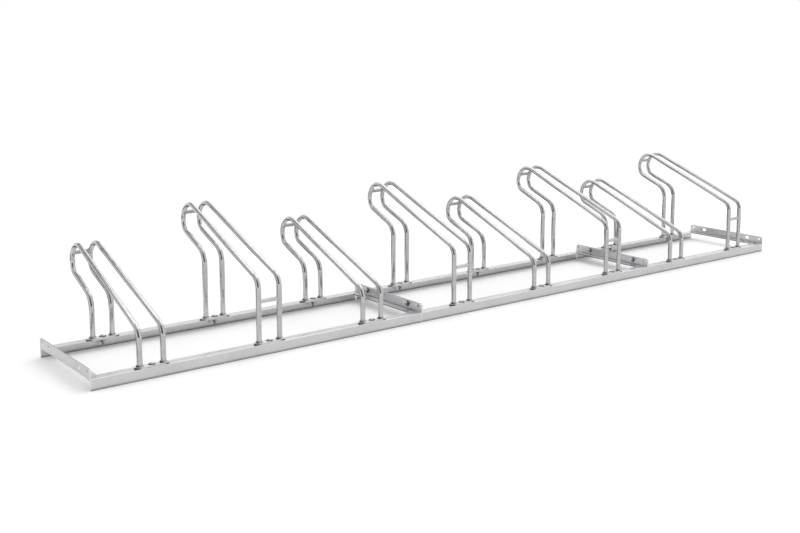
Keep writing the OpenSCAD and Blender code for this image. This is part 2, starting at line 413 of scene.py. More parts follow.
def cut(bm, cutter, operation="DIFFERENCE"):
    """The first mesh less the second one, or what they share."""
    objects = [scratch_object(bm), scratch_object(cutter)]
    modifier = objects[0].modifiers.new("cut", "BOOLEAN")
    modifier.operation = operation
    modifier.solver = "EXACT"
    modifier.use_self = True
    modifier.object = objects[1]
    bpy.context.view_layer.update()
    result = bmesh.new()
    evaluated = objects[0].evaluated_get(bpy.context.evaluated_depsgraph_get())
    result.from_mesh(evaluated.to_mesh())
    evaluated.to_mesh_clear()
    for obj in objects:
        mesh = obj.data
        bpy.data.objects.remove(obj)
        bpy.data.meshes.remove(mesh)
    return result


def finish_piece(name, bm, material, replaced=(), weighted=False, crease=FLAT_CREASE, painted_light=None):
    """Turns a mesh in rack millimetres into a piece.

    The painted-light function gives, at a point and normal, 1 for painted black shade, 0 for none and -1
    for a painted highlight."""
    bmesh.ops.recalc_face_normals(bm, faces=bm.faces)
    if painted_light:
        layer = bm.loops.layers.float.new(PAINTED_LIGHT)
        for face in bm.faces:
            for corner in face.loops:
                corner[layer] = painted_light(corner.vert.co, face.normal)
    bmesh.ops.transform(bm, matrix=TO_ROW, verts=bm.verts)
    mesh = bpy.data.meshes.new(name)
    bm.to_mesh(mesh)
    bm.free()
    for face in mesh.polygons:
        face.use_smooth = True
    mesh.set_sharp_from_angle(angle=math.radians(crease))
    mesh.materials.append(material)
    obj = bpy.data.objects.new(name, mesh)
    bpy.context.collection.objects.link(obj)
    if weighted:
        modifier = obj.modifiers.new("flat_faces", "WEIGHTED_NORMAL")
        modifier.keep_sharp = True
    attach(obj, "root")
    if replaced:
        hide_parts(*replaced)


# The rails and end angles of the ground frame

# Painted contact shadow along the rails' foot, and painted highlights on their heels and cut ends, set by
# section at the ends
GROUND_SHADOW = 0.7
GROUND_SHADOW_FULL = 1.5
GROUND_SHADOW_HEIGHT = 7.0
RAIL_HIGHLIGHT = 0.8
END_SHINE = (1.0, 0.8, 0.3)
BRIGHT_END = 2.6

# Painted shade on the end angles in the fillet, on the flange tip, on the top edge and in the holes,
# darkest in the joints' holes; painted highlights on the heel, the ends and the flange top
END_HIGHLIGHT = 0.7
FLANGE_SHINE = 0.7
FILLET_DARK = 0.75
TOP_EDGE_DARK = 0.45
TIP_DARK = 1.0
JOINT_HOLE_DARK = 0.8
FREE_HOLE_DARK = 0.25

# Shares of a face's normal: along the row on the fillet, on a flange's tip and in a hole, up on a flange
FILLET_TURN = (0.15, 0.99)
TIP_TURN = 0.3
HOLE_TURN = 0.1
FLANGE_UP = 0.9

# Depth from an end angle's outer face where the flange's painted highlight starts, and a height just
# above it
FLANGE_START = WALL + ROOT_R - 0.5
FLANGE_LEVEL = RAIL + 1.0


def angle_outline(inset):
    """Section of the angle steel with its heel at the origin, shrunk by the inset.

    Both sides of one flange have a point where a rail's painted ground shadow ends."""
    tip, toe, heel = TIP_R - inset, TOE_R - inset, HEEL_R - inset
    return (
        arc((HEEL_R, HEEL_R), heel, 180, 270, HEEL_STEPS)
        + arc((RAIL - TIP_R, TIP_R), tip, 270, 360, TIP_STEPS)
        + arc((RAIL - TOE_R, WALL - TOE_R), toe, 0, 90, TOE_STEPS)
        + arc((WALL + ROOT_R, WALL + ROOT_R), ROOT_R + inset, 270, 180, ROOT_STEPS)
        + [(WALL - inset, RAIL - GROUND_SHADOW_HEIGHT)]
        + arc((WALL - TOE_R, RAIL - TOE_R), toe, 0, 90, TOE_STEPS)
        + arc((TIP_R, RAIL - TIP_R), tip, 90, 180, TIP_STEPS)
        + [(inset, RAIL - GROUND_SHADOW_HEIGHT)])


def angle_bar(bm, start, end, to_space):
    """Length of angle steel whose cut ends have rounded edges."""
    levels = quarter_round(END_EDGE_R, END_EDGE_STEPS) + [(0.0, BRIGHT_END)]
    places = [(start + depth, inset) for inset, depth in levels]
    places += [(end - depth, inset) for inset, depth in reversed(levels)]
    caps = loft(bm, [[to_space(a, b, along) for a, b in angle_outline(inset)] for along, inset in places])
    bmesh.ops.triangulate(bm, faces=caps)


def heel_highlight(distance):
    """1 on the edge of the heel, where a highlight is painted, and 0 away from it."""
    return 1 - ramp(distance, 0.5 * HEEL_R, 0.9 * HEEL_R)


def rail_ends(s):
    """A rail's ends, which stop short of the inner joints so that the seams show."""
    start, end = section_ends(s)
    return start + (RAIL_SETBACK if s > 0 else 0), end - (RAIL_SETBACK if end < RACK_LENGTH else 0)


def rail_cutter(s, rear):
    """The rail's seats on the end angles, and its holes for the carriage bolts."""
    cutter = bmesh.new()
    near = FRAME_DEPTH - RAIL if rear else 0
    start, end = section_ends(s)
    for low, high in ((start - OVERRUN, start + WALL), (end - WALL, end + OVERRUN)):
        box(cutter, (low, near - OVERRUN, FLANGE_BOTTOM), (high, near + RAIL + OVERRUN, RAIL + OVERRUN))
    leg_y = REAR_LEG_Y if rear else FRONT_LEG_Y
    for p in range(*SECTIONS[s]):
        place = Matrix.Translation((place_x(p), leg_y, FLANGE_BOTTOM - OVERRUN))
        cylinder(cutter, place, HOLE_D / 2, WALL + 2 * OVERRUN)
    return cutter


def rail_painted_light(s, rear):
    """Painted shadow along the ground, and painted highlights on the heel and the ends."""
    first, last = rail_ends(s)
    heel_y = FRAME_DEPTH if rear else 0

    def painted_light(point, normal):
        heel = heel_highlight(math.hypot(point.y - heel_y, point.z - RAIL))
        end = 1 - ramp(min(point.x - first, last - point.x), END_EDGE_R, BRIGHT_END)
        ground = 1 - ramp(point.z, GROUND_SHADOW_FULL, GROUND_SHADOW_HEIGHT)
        return GROUND_SHADOW * ground - RAIL_HIGHLIGHT * max(heel, END_SHINE[s] * end)

    return painted_light


def rail(s, rear):
    """Angle steel along the row, with its heel up and outside, one flange down and one inward."""
    def to_space(a, b, along):
        return Vector((along, FRAME_DEPTH - a if rear else a, RAIL - b))

    bm = bmesh.new()
    angle_bar(bm, *rail_ends(s), to_space)
    bm = cut(bm, rail_cutter(s, rear))
    node = f"{'rear' if rear else 'front'}_rail_{s + 1}"
    finish_piece(
        f"{node}_steel", bm, ANGLE_STEEL, [node], weighted=True,
        painted_light=rail_painted_light(s, rear))


def end_cover(to_space):
    """What the end angle keeps: a plate's shape with round upper corners, seen along the row."""
    low, high = FLANGE_BOTTOM - OVERRUN, END_TOP - END_CORNER_R
    outline = (
        [(0, low)]
        + arc((END_CORNER_R, high), END_CORNER_R, 180, 90, END_CORNER_STEPS)
        + arc((FRAME_DEPTH - END_CORNER_R, high), END_CORNER_R, 90, 0, END_CORNER_STEPS)
        + [(FRAME_DEPTH, low)])
    cover = bmesh.new()
    prism(cover, outline, -OVERRUN, RAIL + OVERRUN, to_space)
    return cover


def end_cutter(x, inward, to_space):
    """Room for the rails at both corners, the corner holes and the joining slots."""
    cutter = bmesh.new()
    low, high = sorted((x + inward * WALL, x + inward * (RAIL + OVERRUN)))
    for y in (-OVERRUN, FRAME_DEPTH - RAIL):
        box(cutter, (low, y, FLANGE_BOTTOM - OVERRUN), (high, y + RAIL + OVERRUN, END_TOP + OVERRUN))
    through = Matrix.Rotation(inward * math.pi / 2, 4, "Y")
    for y in (HOLE_INSET, FRAME_DEPTH - HOLE_INSET):
        place = Matrix.Translation((x - inward * OVERRUN, y, END_TOP - HOLE_DROP)) @ through
        cylinder(cutter, place, HOLE_D / 2, WALL + 2 * OVERRUN)
    half, r = (SLOT_LENGTH - SLOT_WIDTH) / 2, SLOT_WIDTH / 2
    z = END_TOP - SLOT_DROP
    for y in (SLOT_INSET, FRAME_DEPTH - SLOT_INSET):
        outline = arc((y + half, z), r, -90, 90, SLOT_STEPS) + arc((y - half, z), r, 90, 270, SLOT_STEPS)
        prism(cutter, outline, -OVERRUN, WALL + OVERRUN, to_space)
    return cutter


def end_painted_light(x):
    """Painted shade in the fillet, on the flange tip, on the top edge and in the holes, and painted
    highlights on the heel, the ends and the flange.
    """
    hole_dark = JOINT_HOLE_DARK if x in JOINTS else FREE_HOLE_DARK

    def painted_light(point, normal):
        depth = abs(point.x - x)
        inset = min(point.y, FRAME_DEPTH - point.y)
        turn = abs(normal.x)
        near_root = max(depth - WALL, point.z - RAIL) < ROOT_R + CLOSE
        in_fillet = near_root and FILLET_TURN[0] < turn < FILLET_TURN[1] and normal.z > 0
        on_tip = depth > RAIL - TOE_R - CLOSE and turn > TIP_TURN
        from_hole = math.hypot(inset - HOLE_INSET, point.z - END_TOP + HOLE_DROP)
        in_hole = from_hole < HOLE_D / 2 + CLOSE and turn < HOLE_TURN
        on_flange = depth > FLANGE_START and point.z < FLANGE_LEVEL and normal.z > FLANGE_UP
        top_edge = ramp(point.z, END_TOP - TIP_R, END_TOP - 0.2 * TIP_R)
        heel = heel_highlight(math.hypot(depth, point.z - FLANGE_BOTTOM))
        end = 1 - ramp(inset, CLOSE, END_EDGE_R)
        dark = max(
            FILLET_DARK * in_fillet, TOP_EDGE_DARK * top_edge, TIP_DARK * on_tip, hole_dark * in_hole)
        return dark - END_HIGHLIGHT * max(heel, end, FLANGE_SHINE * on_flange)

    return painted_light


def end_angle(s, right):
    """Angle steel across the frame, with its heel low, one flange up and one inward."""
    x = section_ends(s)[1 if right else 0]
    inward = -1 if right else 1

    def to_space(y, z, along):
        return Vector((x + inward * along, y, z))

    bm = bmesh.new()
    angle_bar(bm, 0, FRAME_DEPTH, lambda a, b, along: Vector((x + inward * a, along, FLANGE_BOTTOM + b)))
    bm = cut(bm, end_cover(to_space), "INTERSECT")
    bm = cut(bm, end_cutter(x, inward, to_space))
    node = f"{'right' if right else 'left'}_end_angle_{s + 1}"
    finish_piece(
        f"{node}_steel", bm, ANGLE_STEEL, [node], weighted=True,
        painted_light=end_painted_light(x))


for s in range(len(SECTIONS)):
    for far_side in (False, True):
        rail(s, far_side)
        end_angle(s, far_side)


# The hoops and the cross bars between them

# Headings of a hoop's straights, and radii at its corners, from the front foot to the rear one
HOOP_HEADINGS = (90, SLOPE, -90, SLOPE - 180, -90)
HOOP_RADII = (0, FRONT_BEND_R, HEAD_BEND_R, NECK_BEND_R, REAR_BEND_R, 0)
HEAD_BEND, NECK_BEND = 2, 3

# Painted shade at the foot of a leg, between heights above the plate, and painted shade on the leg's left
# side
FOOT_RINGS = (1.5, 2.5, 3.5, 4.5, 6.0, 9.0)
FOOT_DARK = 0.35
FOOT_DARK_RISE = (1.0, 3.0)
FOOT_SHADE_END_RISE = (4.0, 8.5)
LEG_SIDE_SHADE = 0.4
LEG_SIDE_TURN = (0.93, 0.99)
UPRIGHT = 0.1


def shoulder(p):
    return SHOULDER_RISE + (HIGH_RISE if is_high(p) else 0)


def head_corner(p):
    return Vector((HEAD_RUN, shoulder(p) + HEAD_RUN * math.tan(math.radians(SLOPE))))


def hoop_corners(p):
    """Corners of the centreline, as run and height in the hoop's own plane."""
    head_take = tangent_length(HEAD_BEND_R, 90 + SLOPE)
    neck_take = tangent_length(NECK_BEND_R, 90 - SLOPE)
    head = head_corner(p)
    neck = head - Vector((0, head_take + HEAD_STRAIGHT + neck_take))
    knee = Vector((REAR_RUN, neck[1] - (HEAD_RUN - REAR_RUN) * math.tan(math.radians(SLOPE))))
    return [Vector((0, 0)), Vector((0, shoulder(p))), head, neck, knee, Vector((REAR_RUN, 0))]


def bend_points(corner, heading_in, heading_out, radius):
    """Points and headings round one bend of the centreline."""
    turn = heading_out - heading_in
    side = math.copysign(1, turn)
    start = corner - tangent_length(radius, turn) * heading_vector(heading_in)
    middle = start + side * radius * heading_vector(heading_in + 90)
    steps = round(abs(turn) / BEND_STEP)
    for i in range(steps + 1):
        heading = heading_in + turn * i / steps
        yield middle - side * radius * heading_vector(heading + 90), heading


def foot_points(corner, heading, rises):
    return [(corner + Vector((0, rise)), heading, BAR_R) for rise in rises]


def hoop_path(p):
    """Points, headings and radii of the centreline, which eases into the thinner head and out of it."""
    corners = hoop_corners(p)
    path = foot_points(corners[0], HOOP_HEADINGS[0], (0, *FOOT_RINGS))
    for i in range(1, len(HOOP_HEADINGS)):
        heading_in, heading_out = HOOP_HEADINGS[i - 1], HOOP_HEADINGS[i]
        bend = list(bend_points(corners[i], heading_in, heading_out, HOOP_RADII[i]))
        radius = HEAD_BAR_R if i in (HEAD_BEND, NECK_BEND) else BAR_R
        if i == HEAD_BEND:
            path.append((bend[0][0] - HEAD_EASE * heading_vector(heading_in), heading_in, BAR_R))
        path += [(point, heading, radius) for point, heading in bend]
        if i == NECK_BEND:
            path.append((bend[-1][0] + HEAD_EASE * heading_vector(heading_out), heading_out, BAR_R))
    return path + foot_points(corners[-1], HOOP_HEADINGS[-1], (*reversed(FOOT_RINGS), 0))


def bar_painted_shade(point, normal):
    """Painted shade above the weld at the foot of a leg, and on the left side of the front legs."""
    rise = point.z - PLATE_TOP
    foot = FOOT_DARK * ramp(rise, *FOOT_DARK_RISE) * (1 - ramp(rise, *FOOT_SHADE_END_RISE))
    on_front_leg = point.y < FRONT_LEG_Y + 1.5 * BAR_R and abs(normal.z) < UPRIGHT
    return max(foot, LEG_SIDE_SHADE * ramp(-normal.x, *LEG_SIDE_TURN) * on_front_leg)


def hoop_plane(p, side):
    """Matrix from a hoop's own plane, run and height, to the rack."""
    place = Matrix.Translation((place_x(p) + side * FRONT_HALF, FRONT_LEG_Y, PLATE_TOP))
    upright = Matrix(((0, 0, 1, 0), (1, 0, 0, 0), (0, 1, 0, 0), (0, 0, 0, 1)))
    return place @ Matrix.Rotation(side * TOE_IN, 4, "Z") @ upright


def hoop(p, side):
    plane = hoop_plane(p, side)
    turn = plane.to_3x3()
    path = [
        (plane @ Vector((*point, 0)), turn @ Vector((*heading_vector(heading), 0)), radius)
        for point, heading, radius in hoop_path(p)]
    bm = bmesh.new()
    sweep(bm, path, turn @ Vector((0, 0, 1)))
    node = f"{'left' if side < 0 else 'right'}_hoop_{p + 1}"
    finish_piece(f"{node}_bar", bm, BAR_STEEL, [node], painted_light=bar_painted_shade)


def top_bar_place(p):
    """Middle of the top bar, half the hoops' distance there and the hoops' heading."""
    run = HEAD_RUN - HEAD_BEND_R + HEAD_BEND_R * math.cos(math.radians(TOP_BAR_ANGLE))
    height = head_corner(p)[1] - tangent_length(HEAD_BEND_R, 90 + SLOPE)
    height += HEAD_BEND_R * math.sin(math.radians(TOP_BAR_ANGLE))
    half = FRONT_HALF - run * math.sin(TOE_IN)
    middle = Vector((place_x(p), FRONT_LEG_Y + run * math.cos(TOE_IN), PLATE_TOP + height))
    return middle, half, TOP_BAR_ANGLE - 90


def front_bar_place(p):
    """The same for the front bar of a high place."""
    middle = Vector((place_x(p), FRONT_LEG_Y, PLATE_TOP + FRONT_BAR_HEIGHT))
    return middle, FRONT_HALF, 90


def cross_bar(node, place, steel):
    middle, half = place[:2]
    reach = half - BAR_R + CROSS_BAR_SINK
    path = [(middle + Vector((x, 0, 0)), Vector((1, 0, 0)), CROSS_BAR_R) for x in (-reach, reach)]
    bm = bmesh.new()
    sweep(bm, path, Vector((0, 0, 1)))
    finish_piece(f"{node}_bar", bm, steel, [node])


# The weld beads at the feet, at the cross bars and at the frame corners

RIPPLE = 1.7
RIPPLE_SWELL = 0.09
LUMPS = 200
LUMP_SIZES = (0.85, 1.12)
TAPER_STEPS = 4
TAPER_LEAST = 0.05
BEAD_STEP = 0.5
ANY_SIDE = Vector((0.31, 0.52, 0.79))

FOOT_BEAD_R = 2.0
FOOT_BEAD_OFFSET = 0.9
FOOT_BEAD_STEPS = 96
FOOT_WOBBLES = (0.25, 0.15)
SADDLE_BEAD_R = 1.1
SADDLE_BEAD_OFFSET = 0.2
SADDLE_BEAD_STEPS = 72
UPPER_BEAD_R = 1.0
UPPER_BEAD_INSET = 5.0
UPPER_BEAD_OFFSET = 0.2
LOWER_BEAD_R = 1.8
LOWER_BEAD_INSET = 6.0
LOWER_BEAD_DEPTH = 2.5
LOWER_BEAD_DROP = 0.4

# Painted shade on the beads round the feet, darker on their left side
WELD_DARK = 0.25
WELD_LEFT_DARK = 0.65
WELD_LEFT = (1, 7)

PLACE_SEED = 100
SECTION_SEED = 200


def lump(sizes, phase):
    """Size of a bead between one lump and the next."""
    i = int(phase)
    return sizes[i % LUMPS] * (1 - phase % 1) + sizes[(i + 1) % LUMPS] * (phase % 1)


def bead(bm, path, radius, closed, rng):
    """Lumpy weld bead along a path, as overlapping ripples of uneven size."""
    sizes = [rng.uniform(*LUMP_SIZES) for _ in range(LUMPS)]
    last = len(path) - 1
    travelled = 0.0
    rows = []
    for i, point in enumerate(path):
        before = path[i - 1] if i or closed else point
        after = path[(i + 1) % len(path)] if i < last or closed else point
        if i:
            travelled += (point - before).length
        phase = travelled / RIPPLE
        swell = radius * lump(sizes, phase) * (1 + RIPPLE_SWELL * math.sin(2 * math.pi * phase))
        if not closed:
            swell *= math.sqrt(max(TAPER_LEAST, min(1.0, i / TAPER_STEPS, (last - i) / TAPER_STEPS)))
        along = (after - before).normalized()
        across = along.cross(ANY_SIDE).normalized()
        other = along.cross(across)
        rows.append([
            point + swell * (math.cos(a) * across + math.sin(a) * other) for a in turns(BEAD_RING)])
    loft(bm, rows, closed)


def foot_bead(bm, centre, rng):
    """Uneven fillet all round the foot of a leg."""
    path = []
    for a in turns(FOOT_BEAD_STEPS):
        wobble = FOOT_WOBBLES[0] * math.sin(3 * a + centre.x) + FOOT_WOBBLES[1] * math.sin(7 * a)
        radius = BAR_R + FOOT_BEAD_OFFSET + wobble
        path.append(centre + Vector((radius * math.cos(a), radius * math.sin(a), FOOT_BEAD_OFFSET)))
    bead(bm, path, FOOT_BEAD_R, True, rng)


def saddle_bead(bm, place, side, rng):
    """Fillet round a cross bar's end, where it meets the curve of the hoop."""
    middle, half, heading = place
    along_hoop = Vector((0, *heading_vector(heading)))
    across_hoop = Vector((0, -along_hoop.z, along_hoop.y))
    reach = CROSS_BAR_R + SADDLE_BEAD_OFFSET
    path = []
    for a in turns(SADDLE_BEAD_STEPS):
        u, v = reach * math.cos(a), reach * math.sin(a)
        x = half - math.sqrt(BAR_R ** 2 - v * v) - SADDLE_BEAD_OFFSET
        path.append(middle + Vector((side * x, 0, 0)) + u * along_hoop + v * across_hoop)
    bead(bm, path, SADDLE_BEAD_R, True, rng)


def weld_painted_shade(p):
    """Painted shade round the feet, darkest on the left, and none on the beads at the cross bars."""
    def painted_light(point, normal):
        if point.z > PLATE_TOP + BAR_R:
            return 0.0
        half = FRONT_HALF if point.y < FRAME_DEPTH / 2 else REAR_HALF
        leg_x = place_x(p) + math.copysign(half, point.x - place_x(p))
        return WELD_DARK + WELD_LEFT_DARK * ramp(leg_x - point.x, *WELD_LEFT)

    return painted_light


def place_welds(p):
    rng = random.Random(PLACE_SEED + p)
    bars = [top_bar_place(p)] + ([front_bar_place(p)] if is_high(p) else [])
    bm = bmesh.new()
    for side in (-1, 1):
        for y, half in ((FRONT_LEG_Y, FRONT_HALF), (REAR_LEG_Y, REAR_HALF)):
            foot_bead(bm, Vector((place_x(p) + side * half, y, PLATE_TOP)), rng)
        for bar in bars:
            saddle_bead(bm, bar, side, rng)
    finish_piece(
        f"weld_beads_{p + 1}", bm, WELD_ZINC, crease=WELD_CREASE,
        painted_light=weld_painted_shade(p))


def line_points(start, end):
    start, end = Vector(start), Vector(end)
    count = round((end - start).length / BEAD_STEP)
    return [start.lerp(end, i / count) for i in range(count + 1)]


def corner_bead(bm, corner, inward, insets, depth, height, radius, rng):
    """Straight bead beside an end angle, between two insets from the frame's side."""
    x = corner[0] + inward[0] * depth
    ends = [(x, corner[1] + inward[1] * inset, height) for inset in insets]
    bead(bm, line_points(*ends), radius, False, rng)


def frame_welds(s):
    """Beads on and under the rails' flanges, where they meet the end angles."""
    rng = random.Random(SECTION_SEED + s)
    start, end = section_ends(s)
    bm = bmesh.new()
    for x, inward_x in ((start, 1), (end, -1)):
        for y, inward_y in ((0, 1), (FRAME_DEPTH, -1)):
            corner, inward = (x, y), (inward_x, inward_y)
            corner_bead(
                bm, corner, inward, (UPPER_BEAD_INSET, RAIL - WALL), WALL + UPPER_BEAD_OFFSET,
                RAIL + UPPER_BEAD_OFFSET, UPPER_BEAD_R, rng)
            corner_bead(
                bm, corner, inward, (LOWER_BEAD_INSET, RAIL), LOWER_BEAD_DEPTH,
                FLANGE_BOTTOM - LOWER_BEAD_DROP, LOWER_BEAD_R, rng)
    finish_piece(f"frame_welds_{s + 1}", bm, WELD_ZINC, crease=WELD_CREASE)


for p in PLACES:
    for side in (-1, 1):
        hoop(p, side)
    cross_bar(f"top_bar_{p + 1}", top_bar_place(p), TOP_BAR_STEEL)
    if is_high(p):
        cross_bar(f"front_bar_{p + 1}", front_bar_place(p), FRONT_BAR_STEEL)
    place_welds(p)
for s in range(len(SECTIONS)):
    frame_welds(s)


# The base plates under the legs

# Painted shade on the plates' edges round their ends, and a painted highlight on their top rim
PLATE_SHADE_REACH = 17.0
PLATE_SHADE_FULL = 11.0
PLATE_END_SHADE = 0.95
RIM_HIGHLIGHT = 0.5


def plate_outline(inset):
    """Plate with round ends, and a point on each side where its painted shade ends."""
    r = PLATE_WIDTH / 2
    half = PLATE_LENGTH / 2 - r
    unshaded_half = PLATE_LENGTH / 2 - PLATE_SHADE_REACH
    side = r - inset
    return (
        [(-unshaded_half, -side), (unshaded_half, -side)] + arc((half, 0), side, -90, 90, PLATE_END_STEPS)
        + [(unshaded_half, side), (-unshaded_half, side)] + arc((-half, 0), side, 90, 270, PLATE_END_STEPS))


def plate_margin(dx, dy):
    """How far a point lies inside the plate's outline."""
    r = PLATE_WIDTH / 2
    beyond = max(0.0, abs(dx) - (PLATE_LENGTH / 2 - r))
    return r - math.hypot(beyond, dy)


def plate_painted_light(x, y):
    """Painted shade on the edge round both ends, and a painted highlight on the rim."""
    def painted_light(point, normal):
        end = PLATE_LENGTH / 2
        level = point.z - RAIL
        at_end = ramp(abs(point.x - x), end - PLATE_SHADE_REACH, end - PLATE_SHADE_FULL)
        side = 1 - ramp(level, PLATE_T - PLATE_EDGE_R, PLATE_T - 0.6 * PLATE_EDGE_R)
        rim = ramp(level, PLATE_T - 0.5 * PLATE_EDGE_R, PLATE_T - 0.2 * PLATE_EDGE_R)
        rim *= ramp(plate_margin(point.x - x, point.y - y), 2 * PLATE_EDGE_R, PLATE_EDGE_R)
        return PLATE_END_SHADE * at_end * side - RIM_HIGHLIGHT * rim

    return painted_light


def base_plate(node, x, y):
    levels = quarter_round(PLATE_UNDER_R, PLATE_EDGE_STEPS)
    upper_edge = quarter_round(PLATE_EDGE_R, PLATE_EDGE_STEPS)
    levels += [(inset, PLATE_T - depth) for inset, depth in reversed(upper_edge)]
    bm = bmesh.new()
    loft(bm, [
        [Vector((x + a, y + b, RAIL + height)) for a, b in plate_outline(inset)]
        for inset, height in levels])
    half = NECK_HOLE / 2
    cutter = bmesh.new()
    box(cutter, (x - half, y - half, RAIL - OVERRUN), (x + half, y + half, PLATE_TOP + OVERRUN))
    bm = cut(bm, cutter)
    finish_piece(
        f"{node}_steel", bm, PLATE_STEEL, [node], weighted=True, crease=PLATE_CREASE,
        painted_light=plate_painted_light(x, y))


for p in PLACES:
    base_plate(f"front_plate_{p + 1}", place_x(p), FRONT_LEG_Y)
    base_plate(f"rear_plate_{p + 1}", place_x(p), REAR_LEG_Y)


# The bolts and nuts

CHAMFER_SLOPE = math.tan(math.radians(30))
CHAMFER_R = 0.97 * NUT_AF / 2
HEAD_DISH = 0.8
HEAD_DISH_H = 0.25
HEXAGON_SEAT = 1.0
AXIS_R = 0.02
HEAD_SINK = 0.3
DOME_LAP = 0.15
NECK_TOP_GAP = 0.1
NECK_FOOT_GAP = 0.3
COLLAR_BORE_R = 1.0
COLLAR_SLOPE_FOOT_R = 7.1
COLLAR_SLOPE_TOP_R = 6.1
LAP = 0.5

# Painted shade round the carriage bolts' heads, on their nuts and most on the nuts' left, and on the
# joining bolts' collars, with a painted highlight on the joining heads' and nuts' faces
HEAD_DARK = 0.95
HEAD_DARK_START = 3.4
HEAD_DARK_FULL = 1.6
NUT_DARK = 0.3
NUT_LEFT_DARK = 0.5
NUT_LEFT = (0, 4)
JOIN_DARK = 0.85
JOIN_SHADE_END_RISE = (2.5, 6.5)
JOIN_HIGHLIGHT = 0.8
JOIN_HIGHLIGHT_RISE = (6.8, 7.7)

BOLT_SEED = 31
JOINT_SEED = 47
RAIL_NUT_TURN = 4
JOINT_TURN = 3


def thread_point(z, turn, low):
    """Point on a thread at a height and a share of a turn, cut back by the chamfer at its lower end."""
    phase = (z / THREAD_PITCH - turn) % 1
    depth = THREAD_DEPTH * abs(2 * phase - 1)
    radius = min(BOLT_R - depth, BOLT_R - THREAD_CHAMFER + (z - low))
    a = 2 * math.pi * turn
    return Vector((radius * math.cos(a), radius * math.sin(a), z))


def thread(bm, place, low, high):
    """Threaded shank from one height to another."""
    steps = round((high - low) / (THREAD_PITCH / THREAD_STEPS))
    heights = [low + (high - low) * i / steps for i in range(steps + 1)]
    loft(bm, [
        [place @ thread_point(z, k / THREAD_RING, low) for k in range(THREAD_RING)] for z in heights])


def hexagon_row(place, radius, height, chamfer=0):
    """Points of a circle or, without a radius, of a hexagon whose corners a chamfer raises or lowers."""
    points = []
    for a in turns(HEXAGON_RING):
        full = NUT_AF / 2 / math.cos(math.radians(math.degrees(a) % 60 - 30))
        r = radius or full
        z = height + chamfer * (full - CHAMFER_R) * CHAMFER_SLOPE
        points.append(place @ Vector((r * math.cos(a), r * math.sin(a), z)))
    return points


def hexagon(bm, place, low, high, bored, chamfered_low=False):
    """Hexagon head, or a nut with a bore, its corners turned off above and if wanted below."""
    rows = [(CHAMFER_R, low), (None, low, 1)] if chamfered_low else [(None, low)]
    rows += [(None, high, -1), (CHAMFER_R, high)]
    if bored:
        mouth = BORE_R + BORE_CHAMFER
        rows += [(mouth, high), (BORE_R, high - BORE_CHAMFER), (BORE_R, low + BORE_CHAMFER), (mouth, low)]
    else:
        rows += [(CHAMFER_R - HEAD_DISH, high - HEAD_DISH_H)]
    loft(bm, [hexagon_row(place, *row) for row in rows], closed=bored)


def collar(bm, place, inner):
    """Round flange under a joining head or nut, falling away to its rim."""
    profile = [
        (inner, 0), (COLLAR_R - COLLAR_CHAMFER, 0), (COLLAR_R, COLLAR_CHAMFER), (COLLAR_R, COLLAR_RIM),
        (COLLAR_R - COLLAR_CHAMFER, COLLAR_RIM + COLLAR_CHAMFER), (COLLAR_SLOPE_FOOT_R, COLLAR_T),
        (COLLAR_SLOPE_TOP_R, COLLAR_T + LAP), (inner, COLLAR_T + LAP)]
    revolve(bm, profile, place, COLLAR_RING, closed=True)


def dome_profile():
    """Radius and height pairs of a carriage bolt's head: a sunk foot, a round rim and a low dome."""
    foot_r = BOLT_HEAD_R - BOLT_RIM
    profile = [(AXIS_R, -HEAD_SINK), (foot_r, 0.0)]
    for a in (math.radians(degrees) for degrees in (30, 60, 90)):
        profile.append((foot_r + BOLT_RIM * math.sin(a), BOLT_RIM - BOLT_RIM * math.cos(a)))
    dome_r = (BOLT_HEAD_R ** 2 + BOLT_HEAD_H ** 2) / (2 * BOLT_HEAD_H)
    spread = math.asin((BOLT_HEAD_R - DOME_LAP) / dome_r)
    for i in range(DOME_STEPS + 1):
        a = spread * (1 - i / DOME_STEPS)
        height = BOLT_HEAD_H - dome_r + dome_r * math.cos(a)
        profile.append((max(AXIS_R, dome_r * math.sin(a)), max(height, BOLT_RIM)))
    return profile


def carriage_bolt(bm, place):
    """Domed head, square neck and threaded shank, hanging from the plate's top."""
    revolve(bm, dome_profile(), place, HEAD_RING)
    low = (-NECK_HALF, -NECK_HALF, NECK_FOOT_GAP - PLATE_T)
    box(bm, low, (NECK_HALF, NECK_HALF, -NECK_TOP_GAP), place)
    thread(bm, place, -BOLT_LENGTH, -PLATE_T + LAP)


def from_bolt_axis(point):
    """How far a point lies from the nearest carriage bolt's axis, along the row and in depth."""
    axis_x = place_x(round((point.x - FIRST_PLACE) / PITCH))
    axis_y = FRONT_LEG_Y if point.y < FRAME_DEPTH / 2 else REAR_LEG_Y
    return point.x - axis_x, point.y - axis_y


def bolt_painted_shade(point, normal):
    """Painted black shade in a ring round a carriage bolt's head."""
    distance = math.hypot(*from_bolt_axis(point))
    return HEAD_DARK * ramp(distance, BOLT_HEAD_R - HEAD_DARK_START, BOLT_HEAD_R - HEAD_DARK_FULL)


def nut_painted_shade(point, normal):
    """Nut darkened all over with painted shade, darker still on its left."""
    return NUT_DARK + NUT_LEFT_DARK * ramp(-from_bolt_axis(point)[0], *NUT_LEFT)


def joint_painted_light(point, normal):
    """Painted shade on the collar and foot of a joining head or nut, and a painted highlight on its face.
    """
    rise = min(abs(point.x - x) for x in JOINTS) - WALL
    return JOIN_DARK * (1 - ramp(rise, *JOIN_SHADE_END_RISE)) - JOIN_HIGHLIGHT * ramp(rise, *JOIN_HIGHLIGHT_RISE)


def finish_fasteners(node, bm, painted_light, weighted=True):
    finish_piece(
        f"{node}_detailed", bm, FASTENER_ZINC, [node], weighted=weighted,
        painted_light=painted_light)


